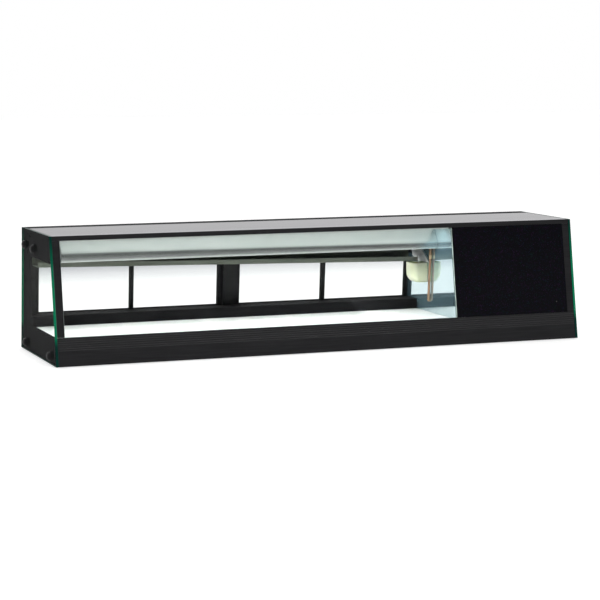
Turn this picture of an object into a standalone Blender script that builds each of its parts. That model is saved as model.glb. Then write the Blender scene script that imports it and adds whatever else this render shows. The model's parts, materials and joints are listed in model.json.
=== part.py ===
"""Countertop refrigerated display case with a leaning glass front, leaning rear sliding doors
and the cooling unit at its right end.

Metres, +Z up. +X runs to the right for the customer, +Y to the operator behind the case.
The world origin is at the bottom centre. Every part hangs on one empty at the lower front
left corner of the case, so the numbers below are measured from that corner: x from the
outside of the left glass, y from the foot of the leaning front, z from the underside.
"""
import math

import bmesh
import bpy
from mathutils import Matrix, Vector

# Driving dimensions of the case
LENGTH = 1.250
DEPTH = 0.323
HEIGHT = 0.275
FOOT_HEIGHT = 0.002
FRONT_LEAN = 0.171
REAR_LEAN = 0.088
REAR_ANGLE = math.atan(REAR_LEAN)
GAP = 0.0003

# Glass and frame
END_GLASS = 0.006
FRONT_GLASS = 0.005
FRONT_SETBACK = 0.0006
INNER_LEFT = END_GLASS + GAP
INNER_RIGHT = LENGTH - END_GLASS - GAP
POST_WIDTH = 0.0160
POST_THICKNESS = 0.009
BASE_PANEL_TOP = 0.0610
BASE_PANEL_THICKNESS = 0.003
RAIL_BOTTOM = 0.2652
TOP_GLASS = 0.006
RAIL_TOP_WIDTH = 0.004
CEILING_BOTTOM = 0.2612

# Base and deck
SHEET = 0.0015
FLOOR_TOP = 0.0465
DECK_TOP = 0.0565
DECK_SHEET = 0.0012
DECK_COUNT = 5

# Partition between the cabin and the unit
PARTITION_X = 0.9425
PARTITION_CORE = 0.024
FRONT_PANEL_X = 0.944

# Rear wall with the sliding doors. An inset is a distance in from the leaning rear plane.
WALL_INSET = 0.007
SILL_FRONT = 0.232
SILL_TOP = 0.080
HEADER_INSET = 0.041
HEADER_BOTTOM = 0.186
TOP_RAIL_FRONT = 0.254
SILL_GROOVE = 0.0098
HEADER_GROOVE = 0.014
DOOR_BOTTOM = SILL_TOP - SILL_GROOVE + 0.0009
DOOR_TOP = HEADER_BOTTOM + 0.010
DOOR_THICKNESS = 0.007
LANE_CLEARANCE = 0.0006
INNER_LANE = 0.0315
OUTER_LANE = 0.0205
MEETING_STILE = 0.0085
MEETING_LAP = 0.0067
JAMB_STILE = 0.009
DOOR_BOTTOM_RAIL = 0.0085
DOOR_TOP_RAIL = 0.0085
DOOR_GLASS = 0.004
LEFT_POST_RIGHT = 0.0210
MULLION = (0.4688, 0.4982)
BAYS = ((LEFT_POST_RIGHT + GAP, 0.2496, MULLION[0] - GAP), (MULLION[1] + GAP, 0.7197, PARTITION_X - GAP))
UPRIGHT_INSET = 0.036

# Evaporator, drip tray and drain
COVER_SHEET = 0.0012
COVER_LEFT = 0.0455
COIL_LEFT = 0.052
COIL_RIGHT = 0.938
TRAY_LEFT = 0.010
TRAY_RIGHT = 0.9241
TRAY_BOTTOM = 0.1938
TRAY_DROP = 0.0194
TRAY_SHEET = 0.001
GUARD_SHEET = 0.0024
CUP_WALL = 0.0018
CUP_FRONT = 0.174
CUP_BACK = 0.214
CUP_TOP = 0.1712
CUP_BOTTOM = 0.1256
PIPE_RADIUS = 0.003175

# Cooling unit and controls at the right end
UNIT_LEFT = PARTITION_X + SHEET + GAP + PARTITION_CORE + GAP
UNIT_PANEL_INSET = 0.013
GRILLE_RIGHT = 1.120
FAN_X = 1.050
FAN_Z = 0.080
FAN_HUB_Y = 0.2475
FAN_RADIUS = 0.052
KNOB_X, KNOB_Z = 1.182, 0.196
SWITCH_X, SWITCH_Z = 1.182, 0.128
INLET_X, INLET_Z = 1.182, 0.052

ROUND_STEPS = 24


def clear_scene():
    for old in list(bpy.data.objects):
        bpy.data.objects.remove(old, do_unlink=True)


def make_collection(name):
    collection = bpy.data.collections.new(name)
    bpy.context.scene.collection.children.link(collection)
    return collection


def make_corner():
    """The empty that carries every part, at the case's lower front left corner."""
    corner = bpy.data.objects.new("case_corner", None)
    corner.location = (-LENGTH / 2, -DEPTH / 2, FOOT_HEIGHT)
    PARTS.objects.link(corner)
    return corner


def finish(name, color, roughness, metallic=0.0, alpha=1.0):
    """A Principled material for one sub-part."""
    material = bpy.data.materials.new(name)
    material.use_nodes = True
    shader = material.node_tree.nodes["Principled BSDF"]
    shader.inputs["Base Color"].default_value = (*color, 1.0)
    shader.inputs["Roughness"].default_value = roughness
    shader.inputs["Metallic"].default_value = metallic
    shader.inputs["Alpha"].default_value = alpha
    return material


def black_metal(name):
    return finish(name, (0.030, 0.031, 0.033), 0.42, 0.6)


def black_plastic(name):
    return finish(name, (0.022, 0.022, 0.024), 0.5)


def clear_glass(name):
    return finish(name, (0.80, 0.93, 0.88), 0.03, 0.0, 0.3)


def steel(name):
    return finish(name, (0.62, 0.65, 0.64), 0.3, 1.0)


def copper(name):
    return finish(name, (0.72, 0.42, 0.26), 0.3, 1.0)


def white_plastic(name):
    return finish(name, (0.85, 0.86, 0.84), 0.4)


def cup_plastic(name):
    return finish(name, (0.72, 0.78, 0.58), 0.35)


def rubber(name):
    return finish(name, (0.02, 0.02, 0.02), 0.9)


def make_rear_plane():
    """An empty on the foot of the leaning rear plane: its y points outwards and its z up the slope."""
    plane = bpy.data.objects.new("rear_plane", None)
    plane.parent = CORNER
    plane.location = (0, DEPTH, 0)
    plane.rotation_euler = (REAR_ANGLE, 0, 0)
    PARTS.objects.link(plane)
    return plane


def adopt(part, material, parent=None):
    """Put a new object in the case's collection, on an empty, with its finish."""
    PARTS.objects.link(part)
    part.parent = parent or CORNER
    part.data.materials.append(material(part.name))
    return part


def mesh_object(name, mesh_data, material, place=Matrix.Identity(4), parent=None):
    mesh = bpy.data.meshes.new(name)
    mesh_data.to_mesh(mesh)
    mesh_data.free()
    part = bpy.data.objects.new(name, mesh)
    part.matrix_local = place
    return adopt(part, material, parent)


def cube_mesh(size):
    shape = bmesh.new()
    bmesh.ops.create_cube(shape, size=1.0)
    bmesh.ops.scale(shape, vec=size, verts=shape.verts)
    return shape


def box(name, low, high, material, parent=None):
    """A box between two corners, with its origin at its middle."""
    low, high = Vector(low), Vector(high)
    return mesh_object(name, cube_mesh(high - low), material, Matrix.Translation((low + high) / 2), parent)


PLANES = {
    "YZ": Matrix(((0, 0, 1, 0), (1, 0, 0, 0), (0, 1, 0, 0), (0, 0, 0, 1))),
    "XZ": Matrix(((1, 0, 0, 0), (0, 0, -1, 0), (0, 1, 0, 0), (0, 0, 0, 1))),
}


def extrusion(name, outlines, span, plane, material, place=None, parent=None):
    """Closed outlines in the YZ or XZ plane, extruded between two places on the third axis."""
    curve = bpy.data.curves.new(name, "CURVE")
    curve.dimensions = "2D"
    curve.fill_mode = "BOTH"
    curve.extrude = (span[1] - span[0]) / 2
    for outline in outlines:
        spline = curve.splines.new("POLY")
        spline.points.add(len(outline) - 1)
        for point, (u, v) in zip(spline.points, outline):
            point.co = (u, v, 0, 1)
        spline.use_cyclic_u = True
    part = bpy.data.objects.new(name, curve)
    middle = (span[0] + span[1]) / 2
    shift = Vector((middle, 0, 0)) if plane == "YZ" else Vector((0, middle, 0))
    part.matrix_local = (place or Matrix.Identity(4)) @ Matrix.Translation(shift) @ PLANES[plane]
    return adopt(part, material, parent)


def rectangle(u0, u1, v0, v1):
    return [(u0, v0), (u1, v0), (u1, v1), (u0, v1)]


def front_y(z, setback=0.0):
    """Where the leaning front plane stands at height z."""
    return FRONT_LEAN * z + setback


def rear_y(z, inset=0.0):
    """Where the leaning rear plane stands at height z."""
    return DEPTH - REAR_LEAN * z - inset


def leaning_outline(z0, z1, setback, thickness):
    near, far = setback, setback + thickness
    return [(front_y(z0, near), z0), (front_y(z0, far), z0),
            (front_y(z1, far), z1), (front_y(z1, near), z1)]


def sheet_outline(path, thickness):
    """The closed outline of a bent sheet whose outer side follows path."""
    path = [Vector(point) for point in path]
    inner = []
    for index, point in enumerate(path):
        before = (point - path[index - 1]).normalized() if index else None
        after = (path[index + 1] - point).normalized() if index < len(path) - 1 else None
        before, after = before or after, after or before
        normal_a = Vector((-before.y, before.x))
        normal_b = Vector((-after.y, after.x))
        miter = (normal_a + normal_b).normalized()
        inner.append(point + miter * thickness / miter.dot(normal_a))
    return [tuple(point) for point in path] + [tuple(point) for point in reversed(inner)]


def turned(name, profile, place, material, steps=ROUND_STEPS, parent=None):
    """A solid of revolution about its local Z. The profile runs down its outer side."""
    mesh = bpy.data.meshes.new(name)
    points = [(radius, 0, z) for radius, z in profile]
    mesh.from_pydata(points, [(i, i + 1) for i in range(len(points) - 1)], [])
    part = bpy.data.objects.new(name, mesh)
    part.matrix_local = place
    screw = part.modifiers.new("turn", "SCREW")
    screw.steps = steps
    screw.render_steps = steps
    screw.use_merge_vertices = True
    screw.merge_threshold = 0.00001
    screw.use_smooth_shade = True
    return adopt(part, material, parent)


def pointing(axis, at):
    """A placement that turns local Z onto the given axis."""
    return Matrix.Translation(at) @ Vector(axis).to_track_quat("Z", "Y").to_matrix().to_4x4()


def tube(name, points, radius, material):
    curve = bpy.data.curves.new(name, "CURVE")
    curve.dimensions = "3D"
    curve.bevel_depth = radius
    curve.bevel_resolution = 2
    curve.use_fill_caps = True
    spline = curve.splines.new("POLY")
    spline.points.add(len(points) - 1)
    for point, place in zip(spline.points, points):
        point.co = (*place, 1)
    return adopt(bpy.data.objects.new(name, curve), material)


def smooth_route(stops, per_leg=4):
    """Points on a Catmull-Rom curve through the stops."""
    stops = [Vector(stop) for stop in stops]
    padded = [stops[0] * 2 - stops[1]] + stops + [stops[-1] * 2 - stops[-2]]
    route = []
    for leg in range(len(stops) - 1):
        a, b, c, d = padded[leg:leg + 4]
        for step in range(per_leg):
            t = step / per_leg
            route.append(0.5 * ((2 * b) + (c - a) * t + (2 * a - 5 * b + 4 * c - d) * t ** 2
                                + (3 * b - a - 3 * c + d) * t ** 3))
    return route + [stops[-1]]


def cutter_of(name, shape, place, parent=None):
    mesh = bpy.data.meshes.new(name)
    shape.to_mesh(mesh)
    shape.free()
    cutter = bpy.data.objects.new(name, mesh)
    cutter.parent = parent or CORNER
    cutter.matrix_local = place
    cutter.hide_render = True
    cutter.display_type = "WIRE"
    CUTTERS.objects.link(cutter)
    return cutter


def box_tool(name, low, high, parent=None):
    low, high = Vector(low), Vector(high)
    return cutter_of(name, cube_mesh(high - low), Matrix.Translation((low + high) / 2), parent)


def round_tool(name, axis, at, radius, length, parent=None):
    shape = bmesh.new()
    bmesh.ops.create_cone(shape, cap_ends=True, segments=ROUND_STEPS,
                          radius1=radius, radius2=radius, depth=length)
    return cutter_of(name, shape, pointing(axis, at), parent)


def combine(part, tool, operation="DIFFERENCE"):
    boolean = part.modifiers.new(operation.lower(), "BOOLEAN")
    boolean.operation = operation
    boolean.solver = "EXACT"
    boolean.object = tool


# ---------------------------------------------------------------- base and frame

def base_plate():
    box("base_plate", (INNER_LEFT, 0.0042, 0), (INNER_RIGHT, DEPTH - WALL_INSET, SHEET), steel)


def insulated_base():
    bottom = SHEET + GAP
    setback = BASE_PANEL_THICKNESS + 2 * GAP
    outline = [(front_y(bottom, setback), bottom), (SILL_FRONT - GAP, bottom),
               (SILL_FRONT - GAP, FLOOR_TOP), (front_y(FLOOR_TOP, setback), FLOOR_TOP)]
    extrusion("insulated_base", [outline], (INNER_LEFT, PARTITION_X - GAP), "YZ", steel)


def base_front_panel():
    """An extrusion that is smooth below and has horizontal ribs above."""
    rib_count, rib_bottom, rib_top, rib_depth = 6, 0.0317, 0.0590, 0.0009
    pitch = (rib_top - rib_bottom) / rib_count
    face = [(front_y(BASE_PANEL_TOP), BASE_PANEL_TOP)]
    for rib in reversed(range(rib_count)):
        z = rib_bottom + rib * pitch
        for share, depth in ((0.95, 0), (0.80, rib_depth), (0.55, rib_depth), (0.40, 0)):
            height = z + share * pitch
            face.append((front_y(height, depth), height))
    face.append((front_y(0), 0))
    back = [(front_y(0, BASE_PANEL_THICKNESS), 0),
            (front_y(BASE_PANEL_TOP, BASE_PANEL_THICKNESS), BASE_PANEL_TOP)]
    extrusion("base_front_panel", [face + back], (INNER_LEFT, INNER_RIGHT), "YZ", black_metal)


def end_glass(name, x0):
    outline = [(0, 0), (DEPTH, 0), (rear_y(HEIGHT), HEIGHT), (front_y(HEIGHT), HEIGHT)]
    extrusion(name, [outline], (x0, x0 + END_GLASS), "YZ", clear_glass)


def front_pieces():
    """Posts, glass and the unit's front panel, all in the leaning plane between panel and rail."""
    z0, z1 = BASE_PANEL_TOP + GAP, RAIL_BOTTOM - GAP
    post = leaning_outline(z0, z1, FRONT_SETBACK, POST_THICKNESS)
    pane = leaning_outline(z0, z1, FRONT_SETBACK, FRONT_GLASS)
    left_end = INNER_LEFT + POST_WIDTH
    right_end = INNER_RIGHT - POST_WIDTH
    extrusion("front_post_left", [post], (INNER_LEFT, left_end), "YZ", black_metal)
    extrusion("front_post_right", [post], (right_end, INNER_RIGHT), "YZ", black_metal)
    extrusion("front_glass", [pane], (left_end + GAP, FRONT_PANEL_X - GAP), "YZ", clear_glass)
    extrusion("compressor_front_panel", [pane], (FRONT_PANEL_X, right_end - GAP), "YZ", black_plastic)


def top_front_rail():
    """An angle that closes the front edge of the top and backs the front glass."""
    top_back = front_y(HEIGHT, RAIL_TOP_WIDTH)
    under_glass = HEIGHT - TOP_GLASS - GAP
    foot_back = front_y(RAIL_BOTTOM, POST_THICKNESS + 0.004)
    outline = [(front_y(RAIL_BOTTOM), RAIL_BOTTOM), (foot_back, RAIL_BOTTOM), (foot_back, under_glass),
               (top_back, under_glass), (top_back, HEIGHT), (front_y(HEIGHT), HEIGHT)]
    extrusion("top_front_rail", [outline], (INNER_LEFT, INNER_RIGHT), "YZ", black_metal)


def top_panel():
    low = (INNER_LEFT, front_y(HEIGHT, RAIL_TOP_WIDTH + GAP), HEIGHT - TOP_GLASS)
    high = (INNER_RIGHT, TOP_RAIL_FRONT - GAP, HEIGHT)
    box("top_panel", low, high, black_plastic)


def ceiling_panel():
    low = (INNER_LEFT + POST_WIDTH, front_y(HEIGHT, POST_THICKNESS + 0.004), CEILING_BOTTOM)
    high = (PARTITION_X - GAP, TOP_RAIL_FRONT - GAP, HEIGHT - TOP_GLASS - GAP)
    box("ceiling_panel", low, high, steel)


def partition():
    """The polished plate on the cabin side and the insulated core behind it."""
    z0, z1 = SHEET + GAP, CEILING_BOTTOM
    setback = FRONT_SETBACK + FRONT_GLASS + 2 * GAP
    outline = [(front_y(z0, setback), z0), (rear_y(z0, WALL_INSET), z0),
               (rear_y(z1, WALL_INSET), z1), (front_y(z1, setback), z1)]
    core_x = PARTITION_X + SHEET + GAP
    extrusion("partition", [outline], (PARTITION_X, PARTITION_X + SHEET), "YZ", steel)
    extrusion("partition_core", [outline], (core_x, core_x + PARTITION_CORE), "YZ", steel)


# ---------------------------------------------------------------- rear wall and doors

def grooved_outline(front_mouth, front_far, mouth_z, groove_z, far_z):
    """A rail section with one groove for each door lane, opening at mouth_z."""
    half = DOOR_THICKNESS / 2 + LANE_CLEARANCE
    edge = [(front_mouth, mouth_z)]
    for lane in (INNER_LANE, OUTER_LANE):
        edge += [(rear_y(mouth_z, lane + half), mouth_z), (rear_y(groove_z, lane + half), groove_z),
                 (rear_y(groove_z, lane - half), groove_z), (rear_y(mouth_z, lane - half), mouth_z)]
    edge.append((rear_y(mouth_z, WALL_INSET), mouth_z))
    return edge + [(rear_y(far_z, WALL_INSET), far_z), (front_far, far_z)]


def rear_rails():
    cabin = (INNER_LEFT, PARTITION_X - GAP)
    sill = grooved_outline(SILL_FRONT, SILL_FRONT, SILL_TOP, SILL_TOP - SILL_GROOVE, SHEET + GAP)
    header = grooved_outline(rear_y(HEADER_BOTTOM, HEADER_INSET), rear_y(CEILING_BOTTOM, HEADER_INSET),
                             HEADER_BOTTOM, HEADER_BOTTOM + HEADER_GROOVE, CEILING_BOTTOM)
    extrusion("rear_sill", [sill], cabin, "YZ", black_metal)
    extrusion("rear_header", [header], cabin, "YZ", black_metal)
    low = CEILING_BOTTOM + GAP
    rail = [(TOP_RAIL_FRONT, low), (rear_y(low), low), (rear_y(HEIGHT), HEIGHT), (TOP_RAIL_FRONT, HEIGHT)]
    extrusion("rear_top_rail", [rail], (INNER_LEFT, INNER_RIGHT), "YZ", black_metal)


def rear_uprights():
    z0, z1 = SILL_TOP + GAP, HEADER_BOTTOM - GAP
    near, far = UPRIGHT_INSET, WALL_INSET + GAP
    outline = [(rear_y(z0, near), z0), (rear_y(z0, far), z0), (rear_y(z1, far), z1), (rear_y(z1, near), z1)]
    extrusion("rear_post", [outline], (INNER_LEFT, LEFT_POST_RIGHT), "YZ", black_metal)
    extrusion("rear_mullion", [outline], MULLION, "YZ", black_metal)


def door_spans():
    """The x range, lane and jamb side of each door at rest, from left to right."""
    spans = []
    for x0, meeting, x1 in BAYS:
        spans.append((x0, meeting + MEETING_LAP / 2, INNER_LANE, "left"))
        spans.append((meeting - MEETING_LAP / 2, x1, OUTER_LANE, "right"))
    return spans


def sliding_door(number, x0, x1, lane, jamb_side):
    """A framed pane that leans with its lane. Its heights are measured up the slope."""
    left_stile = JAMB_STILE if jamb_side == "left" else MEETING_STILE
    right_stile = MEETING_STILE if jamb_side == "left" else JAMB_STILE
    hole = (x0 + left_stile, x1 - right_stile, DOOR_BOTTOM + DOOR_BOTTOM_RAIL, DOOR_TOP - DOOR_TOP_RAIL)
    frame = [rectangle(x0, x1, DOOR_BOTTOM, DOOR_TOP), rectangle(*hole)]
    pane = [rectangle(hole[0] + GAP, hole[1] - GAP, hole[2] + GAP, hole[3] - GAP)]
    place = Matrix.Translation((0, rear_y(0, lane), 0)) @ Matrix.Rotation(REAR_ANGLE, 4, "X")
    half, half_pane = DOOR_THICKNESS / 2, DOOR_GLASS / 2
    extrusion(f"door_{number}_frame", frame, (-half, half), "XZ", black_metal, place)
    extrusion(f"door_{number}_glass", pane, (-half_pane, half_pane), "XZ", clear_glass, place)


def sliding_doors():
    for number, span in enumerate(door_spans(), start=1):
        sliding_door(number, *span)


# ---------------------------------------------------------------- inside the cabin

def deck_plates():
    """Flat plates with lips turned down, each with its origin on the top front edge it tips up about."""
    left = INNER_LEFT + 0.0007
    pitch = (PARTITION_X - GAP - left) / DECK_COUNT
    front = front_y(DECK_TOP, FRONT_SETBACK + FRONT_GLASS + 2 * GAP)
    size = Vector((pitch - 2 * GAP, SILL_FRONT - GAP - front, DECK_TOP - FLOOR_TOP - GAP))
    for number in range(1, DECK_COUNT + 1):
        shape = cube_mesh(size)
        underside = min(shape.faces, key=lambda face: face.calc_center_median().z)
        bmesh.ops.delete(shape, geom=[underside], context="FACES_ONLY")
        bmesh.ops.translate(shape, vec=(0, size.y / 2, -size.z / 2), verts=shape.verts)
        edge = (left + (number - 0.5) * pitch, front, DECK_TOP)
        plate = mesh_object(f"deck_plate_{number}", shape, steel, Matrix.Translation(edge))
        solidify = plate.modifiers.new("sheet", "SOLIDIFY")
        solidify.thickness = DECK_SHEET
        solidify.offset = -1.0
        solidify.use_even_offset = True


def evaporator_cover():
    """A folded sheet under the ceiling: an upper face that leans, a plumb face and a lip."""
    path = [(0.1322, 0.2086), (0.1222, 0.2100), (0.1222, 0.2297), (0.1425, CEILING_BOTTOM - GAP)]
    outline = sheet_outline(list(reversed(path)), COVER_SHEET)
    extrusion("evaporator_cover", [outline], (COVER_LEFT, PARTITION_X - GAP), "YZ", steel)


def comb(x0, x1, spine, tips, pitch, fin):
    """A comb outline in XZ: a spine along the top with fins hanging from it."""
    spine_low, spine_high = spine
    outline = [(x1, spine_high), (x0, spine_high)]
    count = int((x1 - x0 - fin) / pitch)
    step = (x1 - x0 - fin) / count
    for index in range(count + 1):
        left = x0 + index * step
        corners = [(left, tips), (left + fin, tips)]
        if index:
            corners.insert(0, (left, spine_low))
        if index < count:
            corners.append((left + fin, spine_low))
        outline += corners
    return outline


def evaporator_coil():
    outline = comb(COIL_LEFT, COIL_RIGHT, (0.2480, CEILING_BOTTOM - GAP), 0.2150, 0.026, 0.003)
    extrusion("evaporator_coil", [outline], (0.157, 0.2446), "XZ", steel)


def drip_tray():
    """A bent tray under the coil that falls towards the drain cup at the right."""
    front, back, flange, wall, rear_wall = 0.190, 0.246, 0.2615, 0.0105, 0.028
    path = [(front, wall), (front, 0), (back, 0), (back, rear_wall), (flange, rear_wall)]
    slope = math.atan2(TRAY_DROP, TRAY_RIGHT - TRAY_LEFT)
    place = Matrix.Translation((TRAY_LEFT, 0, TRAY_BOTTOM)) @ Matrix.Rotation(slope, 4, "Y")
    length = (TRAY_RIGHT - TRAY_LEFT) / math.cos(slope)
    extrusion("drip_tray", [sheet_outline(path, TRAY_SHEET)], (0, length), "YZ", steel, place)


def drain_guard():
    """A white plate on the partition, behind the tray's low end, with a sloping front edge."""
    outline = [(0.2600, 0.2128), (0.2265, 0.2128), (0.2099, 0.2019), (0.1706, 0.1778), (0.1660, 0.1723),
               (0.2215, 0.1723), (0.2555, 0.1823), (0.2600, 0.1960)]
    face = PARTITION_X - GAP
    extrusion("drain_guard", [outline], (face - GUARD_SHEET, face), "YZ", white_plastic)


def cup_ring(left, z):
    """The cup's plan at one height: flat on the partition, with its two left corners rounded."""
    right = PARTITION_X - GAP
    ring = [(right, CUP_FRONT, z), (right, CUP_BACK, z)]
    for radius, y, start in ((0.005, CUP_BACK - 0.005, 90), (0.014, CUP_FRONT + 0.014, 180)):
        for step in range(6):
            turn = math.radians(start + 18 * step)
            ring.append((left + radius + radius * math.cos(turn), y + radius * math.sin(turn), z))
    return ring


def drain_cup():
    """A cup that hangs on the partition under the tray's end and narrows towards its bottom."""
    shape = bmesh.new()
    rings = []
    for left, z in ((0.9030, CUP_TOP), (0.9046, 0.1415), (0.9112, 0.1304), (0.9162, CUP_BOTTOM)):
        rings.append([shape.verts.new(point) for point in cup_ring(left, z)])
    for upper, lower in zip(rings, rings[1:]):
        for index, corner in enumerate(upper):
            following = (index + 1) % len(upper)
            shape.faces.new((corner, lower[index], lower[following], upper[following]))
    shape.faces.new(rings[-1])
    bmesh.ops.recalc_face_normals(shape, faces=shape.faces)
    cup = mesh_object("drain_cup", shape, cup_plastic)
    solidify = cup.modifiers.new("wall", "SOLIDIFY")
    solidify.thickness = CUP_WALL
    solidify.offset = -1.0
    solidify.use_even_offset = True


def suction_pipe():
    """A bare copper pipe from the coil down beside the partition, with an elbow against it."""
    elbow, stub, y, z = 0.0034, 0.0004, 0.1600, 0.0870
    x = PARTITION_X - GAP - stub - elbow
    stops = [(x - 0.004, 0.1522, 0.2300), (x, 0.1510, 0.2120), (x, 0.1504, 0.1950), (x, 0.1524, 0.1700),
             (x, 0.1550, 0.1380), (x, 0.1569, 0.1100), (x, 0.1595, 0.0920)]
    turns = [math.radians(22.5 * step) for step in range(5)]
    bend = [Vector((x + elbow * (1 - math.cos(turn)), y, z - elbow * math.sin(turn))) for turn in turns]
    end = bend[-1] + Vector((stub, 0, 0))
    tube("suction_pipe", smooth_route(stops) + bend + [end], PIPE_RADIUS, copper)


# ---------------------------------------------------------------- cooling unit

def compressor():
    radius, flange, height = 0.052, 0.062, 0.148
    dome = [(0, height), (radius * 0.55, height - 0.006), (radius * 0.88, height - 0.022),
            (radius, height - 0.045)]
    skirt = [(radius, 0.030), (radius * 0.92, 0.018), (radius * 0.80, 0.006)]
    base = [(flange, 0.006), (flange, 0.002), (0, 0.002)]
    turned("compressor", dome + skirt + base, Matrix.Translation((1.050, 0.100, SHEET)), black_metal)


def condenser_coil():
    outline = comb(0.985, 1.115, (0.146, 0.150), 2 * SHEET, 0.0086, 0.002)
    extrusion("condenser_coil", [outline], (0.2660, 0.2920), "XZ", steel)


def fan_parts():
    """Shroud, motor on its stand and the blade that turns in the shroud."""
    shroud = box("fan_shroud", (0.985, 0.2500, 2 * SHEET), (1.115, 0.2620, 0.155), black_plastic)
    hole = round_tool("fan_hole", (0, 1, 0), (FAN_X, 0.256, FAN_Z), FAN_RADIUS + 0.004, 0.03)
    combine(shroud, hole)
    motor = box("fan_motor", (FAN_X - 0.018, 0.2060, SHEET + GAP),
                (FAN_X + 0.018, 0.2380, FAN_Z), black_metal)
    can = round_tool("motor_can", (0, 1, 0), (FAN_X, 0.2240, FAN_Z), 0.022, 0.042)
    combine(motor, can, "UNION")
    fan_blade()


def fan_blade():
    """Five pitched blades on a hub, with the origin on the fan's axis."""
    axle = pointing((0, 1, 0), (FAN_X, FAN_HUB_Y + 0.0068, FAN_Z))
    hub = [(0, 0.006), (0.015, 0.006), (0.016, 0.004), (0.016, -0.005), (0, -0.005)]
    blade = turned("fan_blade", hub, axle, black_plastic)
    count, pitch, thickness, reach = 5, math.radians(28), 0.0012, FAN_RADIUS - 0.008
    for index in range(count):
        turn = Matrix.Rotation(2 * math.pi * index / count, 4, "Z")
        shape = cube_mesh((reach, 0.022, thickness))
        place = axle @ turn @ Matrix.Translation((0.008 + reach / 2, 0, 0)) @ Matrix.Rotation(pitch, 4, "X")
        combine(blade, cutter_of(f"fan_leaf_{index}", shape, place), "UNION")


def unit_panel(name, x0, x1):
    """One of the two panels that close the unit's compartment behind, leaning with the rear plane."""
    low = (x0, -UNIT_PANEL_INSET, SHEET + GAP + 0.0014)
    return box(name, low, (x1, SHEET - UNIT_PANEL_INSET, CEILING_BOTTOM), black_metal, REAR_PLANE)


def rear_grille():
    panel = unit_panel("rear_grille", UNIT_LEFT, GRILLE_RIGHT - GAP)
    rows, first, pitch, height, reach = 12, 0.024, 0.018, 0.006, 0.020
    for row in range(rows):
        z = first + row * pitch
        slot = box_tool(f"slot_{row}", (UNIT_LEFT + 0.014, -reach, z),
                        (GRILLE_RIGHT - 0.014, 0, z + height), REAR_PLANE)
        combine(panel, slot)


def control_panel():
    """The plate that carries the thermostat, the switch and the power inlet."""
    panel = unit_panel("control_panel", GRILLE_RIGHT, INNER_RIGHT)
    y0, y1 = -UNIT_PANEL_INSET - 0.01, 0
    combine(panel, round_tool("knob_hole", (0, 1, 0), (KNOB_X, -UNIT_PANEL_INSET, KNOB_Z), 0.0045, 0.03,
                              REAR_PLANE))
    combine(panel, box_tool("switch_hole", (SWITCH_X - 0.0075, y0, SWITCH_Z - 0.0125),
                            (SWITCH_X + 0.0075, y1, SWITCH_Z + 0.0125), REAR_PLANE))
    combine(panel, box_tool("inlet_hole", (INLET_X - 0.0140, y0, INLET_Z - 0.0100),
                            (INLET_X + 0.0140, y1, INLET_Z + 0.0100), REAR_PLANE))


def thermostat_knob():
    face = 0.0102
    cap = [(0, face), (0.0125, face), (0.0145, face - 0.0015), (0.0160, 0.0006), (0.0160, 0)]
    shaft = [(0.0040, 0), (0.0040, -0.010), (0, -0.010)]
    seat = SHEET + GAP - UNIT_PANEL_INSET
    place = pointing((0, 1, 0), (KNOB_X, seat, KNOB_Z))
    knob = turned("thermostat_knob", cap + shaft, place, black_plastic, parent=REAR_PLANE)
    y = seat + face
    ridge = box_tool("knob_ridge", (KNOB_X - 0.0011, y - 0.003, KNOB_Z + 0.002),
                     (KNOB_X + 0.0011, y + 0.0008, KNOB_Z + 0.0138), REAR_PLANE)
    combine(knob, ridge, "UNION")


def power_switch():
    """A rocker with a shallow V face, turning about a level axis inside the panel's window."""
    y = SHEET - UNIT_PANEL_INSET
    half = 0.0110
    outline = [(y - 0.007, -0.006), (y + 0.0005, -half), (y + 0.0034, -half), (y + 0.0020, 0),
               (y + 0.0034, half), (y + 0.0005, half), (y - 0.007, 0.006)]
    place = Matrix.Translation((0, 0, SWITCH_Z))
    extrusion("power_switch", [outline], (SWITCH_X - 0.0070, SWITCH_X + 0.0070), "YZ", black_plastic, place,
              REAR_PLANE)


def power_inlet():
    y = -UNIT_PANEL_INSET
    body = box("power_inlet", (INLET_X - 0.0137, y - 0.018, INLET_Z - 0.0097),
               (INLET_X + 0.0137, y + 0.004, INLET_Z + 0.0097), black_plastic, REAR_PLANE)
    combine(body, box_tool("inlet_socket", (INLET_X - 0.0110, y - 0.012, INLET_Z - 0.0070),
                           (INLET_X + 0.0110, y + 0.01, INLET_Z + 0.0070), REAR_PLANE))


# ---------------------------------------------------------------- fittings

def end_caps():
    """Domed plastic covers over the four fixings of each end glass."""
    profile = [(0, 0.0080), (0.0052, 0.0078), (0.0080, 0.0062), (0.0094, 0.0034), (0.0095, 0), (0, 0)]
    seats = ((0.2665, 0.2390), (0.1880, 0.2355), (0.2710, 0.0188), (0.0520, 0.0175))
    for side, x, axis in (("left", -GAP, (-1, 0, 0)), ("right", LENGTH + GAP, (1, 0, 0))):
        for number, (y, z) in enumerate(seats, start=1):
            turned(f"end_cap_{side}_{number}", profile, pointing(axis, (x, y, z)), black_plastic, 16)


def feet():
    profile = [(0, -GAP), (0.0120, -GAP), (0.0120, -FOOT_HEIGHT), (0, -FOOT_HEIGHT)]
    spots = [(x, y) for y in (0.035, 0.285) for x in (0.060, LENGTH - 0.060)]
    for number, (x, y) in enumerate(spots, start=1):
        turned(f"foot_{number}", profile, Matrix.Translation((x, y, 0)), rubber, 16)


clear_scene()
PARTS = make_collection("refrigerated_display_case")
CUTTERS = make_collection("cutters")
CORNER = make_corner()
REAR_PLANE = make_rear_plane()

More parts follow.
